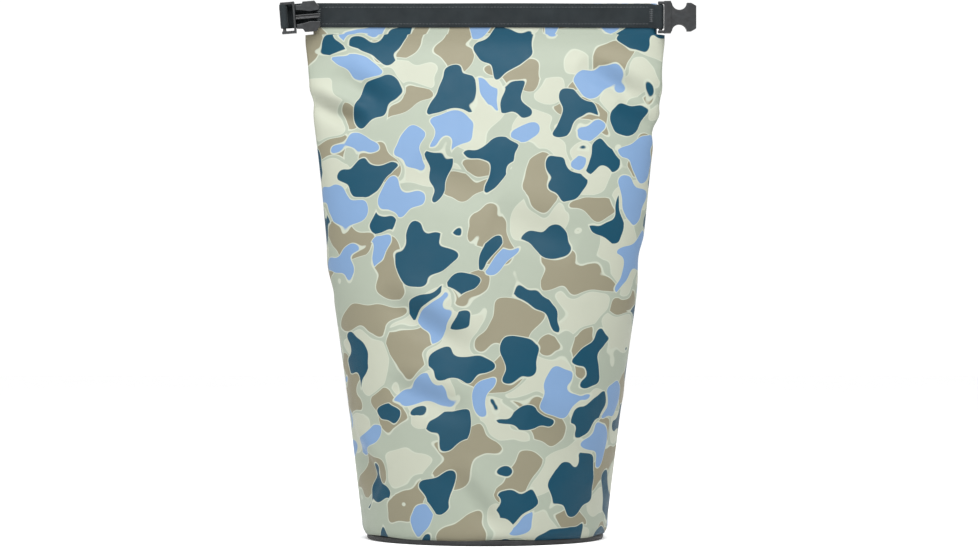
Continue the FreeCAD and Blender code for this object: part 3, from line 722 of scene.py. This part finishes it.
def sweep(name, route, across_axis, outline, material, taper=None):
    """A strip along a route. Its section is (across, lift) pairs; taper scales the section's width.

    across_axis is one direction, or one for every point of the route."""
    route = np.array([tuple(point) for point in route], float)
    across = np.broadcast_to(np.array(across_axis, float), route.shape)
    lifts = unit(np.cross(unit(np.gradient(route, axis=0)), across))
    travelled = np.concatenate([[0], np.cumsum(np.linalg.norm(np.diff(route, axis=0), axis=1))])
    count = len(outline)
    points, faces, corners = [], [], []
    for number, (place, side, lift) in enumerate(zip(route, across, lifts)):
        scale = taper(number / (len(route) - 1)) if taper else 1
        points += [place + side * s * scale + lift * q for s, q in outline]
    for number in range(len(route) - 1):
        for k in range(count):
            after = (k + 1) % count
            spots = [(number, k), (number, after), (number + 1, after), (number + 1, k)]
            faces.append([step * count + corner for step, corner in spots])
            corners += [(travelled[step], outline[corner][0]) for step, corner in spots]
    last = (len(route) - 1) * count
    for face, step in ((list(range(count))[::-1], 0), ([last + k for k in range(count)], -1)):
        faces.append(face)
        corners += [(travelled[step], outline[index % count][0]) for index in face]
    return make_object(name, points, faces, material, corners)


def arc(centre, radius, start, end, steps):
    """Points of an arc in a plane, angles in degrees."""
    return [
        (centre[0] + radius * math.cos(angle), centre[1] + radius * math.sin(angle))
        for angle in np.radians(np.linspace(start, end, steps))
    ]


BAR_RIGHT = joint_place("socket_swing")
BAR_LEFT = joint_place("prong_swing")
LOOP_RADIUS = 2.6 * MM  # middle of the webbing where it turns round a bar
TAB_LOOP_RADIUS = 3.3 * MM  # the prong half's tab is wound twice round its bar
WEB_THICKNESS = 1.6 * MM
BAND_RIBS = (0.62, 0.74, 0.93)  # where the band's raised cords are, in shares of its half width
TILT = math.radians(4.5)  # droop of the prong half


def make_band():
    """The closure webbing along the mouth, turned round the socket half's bar. It sinks a little there."""
    middle = BAR_RIGHT.y
    droop = COLLAR_HIGH.z - BAND_WIDTH - BAND_LOW.z
    run = [(x, middle) for x in np.linspace(-COLLAR_HIGH.x, BAR_RIGHT.x - 9 * MM, 70)]
    swell = [(BAR_RIGHT.x - 5.6 * MM, middle - 0.7 * MM), (BAR_RIGHT.x - 2.9 * MM, middle - 2.0 * MM)]
    loop = arc((BAR_RIGHT.x, middle), LOOP_RADIUS, -118, 150, 16)
    flat = run + swell + loop
    sunk = (BAR_RIGHT.x - 11 * MM, BAR_RIGHT.x - 5 * MM)
    route = []
    for x, y in flat:
        waver = 0.3 * MM * math.sin(9 * x + 0.5) * math.cos(21 * x)
        route.append((x, y, BAND_MIDDLE + waver - droop * smooth_step(x, *sunk)))
    outline = web_outline(BAND_WIDTH, WEB_THICKNESS, ribs=BAND_RIBS)
    band = sweep("closure_band", route, (0, 0, 1), outline, BAND_WEB)
    finish_piece(band, ["closure_webbing"])


def make_prong_tab():
    """The webbing tab of the prong half: from the band's end it droops a little and turns round the bar."""
    low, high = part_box("male_buckle_tab")
    middle_depth = BAR_RIGHT.y - BAR_LEFT.y
    reach = -COLLAR_HIGH.x - BAR_LEFT.x + 1.0 * MM
    run = [(x, middle_depth) for x in np.linspace(reach, 9 * MM, 8)]
    drop = [(5.2 * MM, middle_depth - 0.5 * MM), (2.0 * MM, middle_depth - 2.2 * MM)]
    loop = arc((0, 0), TAB_LOOP_RADIUS, 78, 352, 18)
    place = Matrix.Translation((BAR_LEFT.x, BAR_LEFT.y, (low.z + high.z) / 2))
    turned = place @ Matrix.Rotation(-TILT, 4, "Y")
    route = [turned @ Vector((x, y, 0)) for x, y in run + drop + loop]
    up = turned.to_3x3() @ Vector((0, 0, 1))
    outline = web_outline(BAND_WIDTH, WEB_THICKNESS, ribs=BAND_RIBS)
    tab = sweep("prong_tab", route, up, outline, BAND_WEB)
    finish_piece(tab, ["male_buckle_tab"])


def make_back_binding():
    low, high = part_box("back_binding")
    middle = ((low.y + high.y) / 2, (low.z + high.z) / 2)
    route = [(x, middle[0], middle[1]) for x in np.linspace(low.x, high.x, 60)]
    outline = web_outline(high.z - low.z, high.y - low.y, ribs=(0.8,))
    finish_piece(sweep("mouth_binding", route, (0, 0, 1), outline, TAPE), ["back_binding"])


# ---------------------------------------------------------------- stitching

STITCH_LENGTH = 2.6 * MM
STITCH_PITCH = 3.3 * MM


def add_stitch(points, faces, middle, along, out, length=STITCH_LENGTH, width=0.55 * MM, height=0.42 * MM):
    """One stitch: a short bead that dips into the cloth at both ends."""
    side = along.cross(out).normalized()
    rings, corners = 5, 6
    start = len(points)
    for ring in range(rings):
        share = ring / (rings - 1)
        swell = math.sin(math.pi * (0.12 + 0.76 * share))
        centre = middle + along * (share - 0.5) * length + out * height * (swell - 0.75) * 0.8
        for corner in range(corners):
            angle = 2 * math.pi * corner / corners
            points.append(centre + side * width / 2 * swell * math.cos(angle)
                          + out * height / 2 * swell * math.sin(angle))
    for ring in range(rings - 1):
        for corner in range(corners):
            here = start + ring * corners
            after = (corner + 1) % corners
            faces.append([here + corner, here + after, here + corners + after, here + corners + corner])
    faces.append([start + corner for corner in reversed(range(corners))])
    faces.append([start + (rings - 1) * corners + corner for corner in range(corners)])


def stitch_line(points, faces, start, end, out, pitch=STITCH_PITCH, **sizes):
    """Stitches in a straight row; out points off the cloth."""
    run = end - start
    count = max(int(run.length / pitch), 1)
    for number in range(count):
        add_stitch(points, faces, start + run * (number + 0.5) / count, run.normalized(), out, **sizes)


def make_band_stitches():
    """Two rows that hold the closure webbing, and the bartacks at its ends."""
    points, faces = [], []
    face = BAR_RIGHT.y - WEB_THICKNESS / 2
    out = Vector((0, -1, 0))
    half_row = 168 * MM
    for height in (BAND_MIDDLE + 8.4 * MM, BAND_MIDDLE - 8.8 * MM):
        left, right = (Vector((side * half_row, face - 0.1 * MM, height)) for side in (-1, 1))
        stitch_line(points, faces, left, right, out)
    obj = make_object("band_stitching", points, faces, THREAD)
    finish_piece(obj, body="closure")
    points, faces = [], []
    low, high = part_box("closure_bartacks")
    bars = 7
    for side in (-1, 1):
        middle = side * (high.x - 2 * MM)
        for number in range(bars):
            height = low.z + (high.z - low.z) * (number + 0.5) / bars
            add_stitch(points, faces, Vector((middle, face - 0.15 * MM, height)), Vector((1, 0, 0)), out,
                       length=4.2 * MM, width=0.9 * MM, height=0.6 * MM)
        stitch_line(points, faces, Vector((middle, face - 0.1 * MM, low.z)),
                    Vector((middle, face - 0.1 * MM, high.z)), out, pitch=2.6 * MM)
    obj = make_object("bartack_stitching", points, faces, THREAD)
    finish_piece(obj, ["closure_bartacks"])


# ---------------------------------------------------------------- moulded pieces

MOULDINGS = [
    # node, name of its piece, voxel size, passes of smoothing
    ("female_buckle", "buckle_socket", 0.4 * MM, 3),
    ("male_buckle_frame", "buckle_prong_frame", 0.4 * MM, 2),
    ("male_arm_upper", "buckle_arm_upper", 0.4 * MM, 3),
    ("male_arm_lower", "buckle_arm_lower", 0.4 * MM, 3),
    ("strap_adjuster", "adjuster", 0.45 * MM, 2),
    ("valve_base", "valve_flange", 0.45 * MM, 3),
    ("valve_cap", "valve_twist_cap", 0.4 * MM, 2),
]


def make_moulding(node, name, voxel, passes):
    """A CAD piece with its edges softened, as a moulding's are."""
    piece = bpy.data.objects.new(name, frame["nodes"][node].data.copy())
    bpy.context.scene.collection.objects.link(piece)
    merge_doubles(piece.data)
    add_remesh(piece, voxel)
    soften = piece.modifiers.new("soften", "SMOOTH")
    soften.factor = 0.5
    soften.iterations = passes
    bake_modifiers(piece)
    piece.data.materials.clear()
    piece.data.materials.append(BUCKLE)
    finish_piece(piece, [node])


# ---------------------------------------------------------------- back of the bag

def place_on_skin(tree, across, height, lift):
    """A place on the back of the skin, or lifted a little way off it."""
    place, normal = tree.ray_cast(Vector((across, 1, height)), Vector((0, -1, 0)))[:2]
    return place + normal * lift


def welded_patch(name, tree, middle, half_width, low, high, thickness, corner, material, rows):
    """A piece of coated cloth welded to the back, with rounded corners and pressed edges."""
    columns = 25
    points, faces, corners = [], [], []
    spots = []
    for row in range(rows):
        height = low + (high - low) * row / (rows - 1)
        from_end = min(height - low, high - height)
        cut_back = corner - math.sqrt(max(corner ** 2 - max(corner - from_end, 0) ** 2, 0))
        for column in range(columns):
            share = math.sin(math.pi * (column / (columns - 1) - 0.5))
            edge = min(1, 6 * (1 - abs(share)) + 0.35, from_end / (2 * MM) + 0.35)
            spots.append((middle + share * (half_width - cut_back), height, thickness * edge))
    for side in (1, 0):
        for across, height, lift in spots:
            points.append(place_on_skin(tree, across, height, lift if side else 0.05 * MM))
    count = rows * columns

    def add_face(*numbers):
        faces.append(numbers)
        corners.extend(spots[number % count][:2] for number in numbers)

    for row in range(rows - 1):
        for column in range(columns - 1):
            here = row * columns + column
            quad = (here, here + columns, here + columns + 1, here + 1)
            add_face(*quad)
            add_face(*[count + number for number in reversed(quad)])
    rim = [*range(columns), *[row * columns + columns - 1 for row in range(1, rows)],
           *[(rows - 1) * columns + column for column in range(columns - 2, -1, -1)],
           *[row * columns for row in range(rows - 2, 0, -1)]]
    for here, after in zip(rim, rim[1:] + rim[:1]):
        add_face(here, after, count + after, count + here)
    return make_object(name, points, faces, material, corners)


def rounded_route(corners, step=3 * MM):
    """Straight runs in the middle plane joined by arcs: each corner is (depth, height, radius)."""
    places = [Vector(corner[:2]) for corner in corners]
    route = [places[0]]
    for before, corner, after, bend in zip(places, places[1:], places[2:], corners[1:]):
        back, ahead = (before - corner).normalized(), (after - corner).normalized()
        half = back.angle(ahead) / 2
        middle = corner + (back + ahead).normalized() * bend[2] / math.sin(half)
        first = corner + back * bend[2] / math.tan(half) - middle
        turn = first.angle_signed(corner + ahead * bend[2] / math.tan(half) - middle)
        count = max(int(abs(turn) * bend[2] / step), 3)
        for number in range(count + 1):
            angle = math.atan2(first.y, first.x) - turn * number / count
            route.append(middle + bend[2] * Vector((math.cos(angle), math.sin(angle))))
    route.append(places[-1])
    dense = [route[0]]
    for here, after in zip(route, route[1:]):
        parts = max(int((after - here).length / step), 1)
        dense += [here.lerp(after, part / parts) for part in range(1, parts + 1)]
    return [Vector((0, place.x, place.y)) for place in dense]


PAD_ROUTE = [(0.083, 0.387, 0), (0.124, 0.312, 0.150), (0.1376, 0.228, 0)]
STRAP_ROUTE = [
    # sewn to the upper patch, over the outside of the pad, straight down, sewn to the lower patch
    (0.0224, 0.476, 0),
    (0.0329, 0.441, 0.022),
    (0.0800, 0.3960, 0.030),
    (0.1296, 0.3145, 0.150),
    (0.1430, 0.2420, 0.018),
    (0.1380, 0.2270, 0.015),
    (0.1380, 0.0960, 0.022),
    (0.1219, 0.0600, 0.022),
    (0.1271, 0.0180, 0),
]
X_AXIS = (1, 0, 0)
STRAP_WIDTH = 38 * MM
STRAP_THICKNESS = 2 * MM


def swell_up(obj, pressure, cap, frames=20):
    """Blow a padded piece up with cloth simulation; no point moves further than the cap."""
    before = np.array([vertex.co for vertex in obj.data.vertices])
    cloth = obj.modifiers.new("cloth", "CLOTH")
    cloth.settings.use_pressure = True
    cloth.settings.uniform_pressure_force = pressure
    cloth.settings.effector_weights.gravity = 0
    cloth.settings.quality = 5
    scene = bpy.context.scene
    for number in range(1, frames + 1):
        scene.frame_set(number)
    bake_modifiers(obj)
    after = np.array([vertex.co for vertex in obj.data.vertices])
    moved = after - before
    far = np.linalg.norm(moved, axis=1, keepdims=True)
    after = before + moved * np.minimum(1, cap / np.maximum(far, 1e-9))
    obj.data.vertices.foreach_set("co", after.astype(np.float32).ravel())
    scene.frame_set(1)


def make_shoulder_pad():
    """A soft pad of foam in spacer mesh, blown up by cloth simulation, with a bound edge."""
    route = rounded_route(PAD_ROUTE)
    half_width, half_depth = 28.2 * MM, 3.3 * MM
    outline = [
        (half_width * math.copysign(abs(math.cos(a)) ** 0.55, math.cos(a)),
         half_depth * math.copysign(abs(math.sin(a)) ** 0.75, math.sin(a)))
        for a in np.linspace(0, 2 * math.pi, 41)[:-1]
    ]

    def rounded_ends(share):
        from_end = min(share, 1 - share) * 5.5
        return math.sqrt(max(1 - max(1 - from_end, 0) ** 2, 0)) * 0.45 + 0.55

    pad = sweep("shoulder_pad_soft", route, X_AXIS, outline, MESH, taper=rounded_ends)
    add_remesh(pad, 3 * MM)
    bake_modifiers(pad)
    swell_up(pad, pressure=4, cap=2.5 * MM)
    smooth = pad.modifiers.new("smooth", "SUBSURF")
    smooth.levels = smooth.render_levels = 1
    bake_modifiers(pad)
    pad.data.materials.clear()
    pad.data.materials.append(MESH)
    finish_piece(pad, ["shoulder_pad"])
    count = len(route)
    edge = [route[k] + Vector((27.6 * MM * rounded_ends(k / (count - 1)), 0, 0)) for k in range(count)]
    loop = edge + [Vector((-p.x, p.y, p.z)) for p in reversed(edge)]
    loop.append(loop[0])
    lift = unit(np.cross(np.gradient(np.array(route), axis=0), X_AXIS))
    lifts = np.concatenate([lift, lift[::-1], lift[:1]])
    across = np.cross(unit(np.gradient(np.array(loop), axis=0)), lifts)
    tape = [(2.4 * MM * math.cos(a), 2.0 * MM * math.sin(a)) for a in np.linspace(0, 2 * math.pi, 17)[:-1]]
    finish_piece(sweep("pad_binding", loop, unit(across), tape, TAPE), body="bag")


def strap_stitches(route, points, faces, corner_places, lift):
    """Stitches on the outside of the strap, from corner to corner; corners are (distance, across)."""
    places = np.array(route)
    travelled = np.concatenate([[0], np.cumsum(np.linalg.norm(np.diff(places, axis=0), axis=1))])

    def on_strap(distance, across):
        return Vector((across, *[np.interp(distance, travelled, places[:, axis]) for axis in (1, 2)]))

    for start, end in zip(corner_places, corner_places[1:]):
        length = math.dist(start, end)
        count = max(int(length / STITCH_PITCH), 1)
        for number in range(count):
            shares = [(number + part) / count for part in (0, 0.5, 1)]
            spots = [on_strap(*[a + (b - a) * share for a, b in zip(start, end)]) for share in shares]
            along = (spots[2] - spots[0]).normalized()
            out = Vector((1, 0, 0)).cross(on_strap(start[0] + 1e-3, 0) - on_strap(start[0], 0)).normalized()
            add_stitch(points, faces, spots[1] + out * lift, along, out)


def make_sling_strap():
    route = rounded_route(STRAP_ROUTE)
    outline = web_outline(STRAP_WIDTH, STRAP_THICKNESS, ribs=(0.15, 0.45, 0.88))
    strap = sweep("sling_webbing", route, X_AXIS, outline, STRAP_WEB)
    finish_piece(strap, ["strap_webbing_upper", "strap_webbing_lower"])
    length = sum((b - a).length for a, b in zip(route, route[1:]))
    points, faces = [], []
    half = STRAP_WIDTH / 2 - 3.5 * MM
    # distances along the strap: on the upper patch, on the pad's upper end, on the lower patch
    for low, high in ((3 * MM, 31 * MM), (116 * MM, 141 * MM), (length - 41 * MM, length - 3 * MM)):
        box = [(low, -half), (high, -half), (high, half), (low, half), (low, -half), (high, half)]
        strap_stitches(route, points, faces, box, STRAP_THICKNESS / 2)
        strap_stitches(route, points, faces, [(low, half), (high, -half)], STRAP_THICKNESS / 2)
    finish_piece(make_object("strap_stitching", points, faces, THREAD), body="bag")


def make_back(skin):
    tree = surface_tree(skin)
    for name in ("upper", "lower"):
        low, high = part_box(f"{name}_strap_patch")
        patch = welded_patch(
            f"{name}_patch", tree, 0, high.x, low.z, high.z,
            thickness=1.3 * MM, corner=9 * MM, material=BASE, rows=22,
        )
        finish_piece(patch, [f"{name}_strap_patch"])
    low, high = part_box("back_seam_tape")
    middle, half_width = (low.x + high.x) / 2, (high.x - low.x) / 2
    tape = welded_patch(
        "seam_tape", tree, middle, half_width, low.z, high.z,
        thickness=0.7 * MM, corner=1 * MM, material=SKIN, rows=100,
    )
    finish_across_fold(tape, ["back_seam_tape"])
    make_shoulder_pad()
    make_sling_strap()


# ---------------------------------------------------------------- studio

def add_light(name, place, target, size, watts):
    light = bpy.data.lights.new(name, "AREA")
    light.shape = "RECTANGLE"
    light.size, light.size_y = size
    light.energy = watts
    obj = bpy.data.objects.new(name, light)
    obj.location = place
    obj.rotation_euler = (Vector(target) - Vector(place)).to_track_quat("-Z", "Y").to_euler()
    bpy.context.scene.collection.objects.link(obj)


def make_studio():
    scene = bpy.context.scene
    material, tree, shader = start_material("studio_floor", Roughness=0.9, Specular_IOR_Level=0.1)
    paper = layer_over(tree, grain(tree, object_place(tree), 3), linear("f7f7f7"), linear("f5f5f5"))
    link_in(tree, paper, shader, "Base Color")
    half = 6  # metres of floor on each side
    floor_corners = [(-half, -half, 0), (half, -half, 0), (half, half, 0), (-half, half, 0)]
    floor = make_object("studio_floor", floor_corners, [[0, 1, 2, 3]], material)
    world = bpy.data.worlds.new("studio")
    world.use_nodes = True
    world.node_tree.nodes["Background"].inputs["Color"].default_value = (1, 1, 1, 1)
    world.node_tree.nodes["Background"].inputs["Strength"].default_value = 1.07
    scene.world = world
    scene.view_settings.view_transform = "Standard"
    add_light("softbox_above", (0, -0.75, 1.35), (0, 0, 0.44), (1.3, 0.6), 27)
    add_light("softbox_left", (-1.6, -1.9, 1.1), (0, 0, 0.30), (0.7, 1.2), 16)
    add_light("softbox_behind", (1.2, 2.3, 1.5), (0, 0, 0.30), (1.0, 0.8), 18)


def make_camera():
    camera = bpy.data.cameras.new("camera")
    camera.sensor_width = 36
    camera.lens = 133.3
    obj = bpy.data.objects.new("camera", camera)
    obj.location = (0.004, -3.73, 0.2706)
    obj.rotation_euler = (math.radians(90), 0, 0)
    bpy.context.scene.collection.objects.link(obj)
    bpy.context.scene.camera = obj


make_studio()
make_camera()
make_back(make_walls())
make_base()
make_band()
make_prong_tab()
make_back_binding()
make_band_stitches()
for moulding in MOULDINGS:
    make_moulding(*moulding)
for node in ("front_stiffener", "back_stiffener"):
    frame["nodes"][node].data.materials[0] = STIFFENER
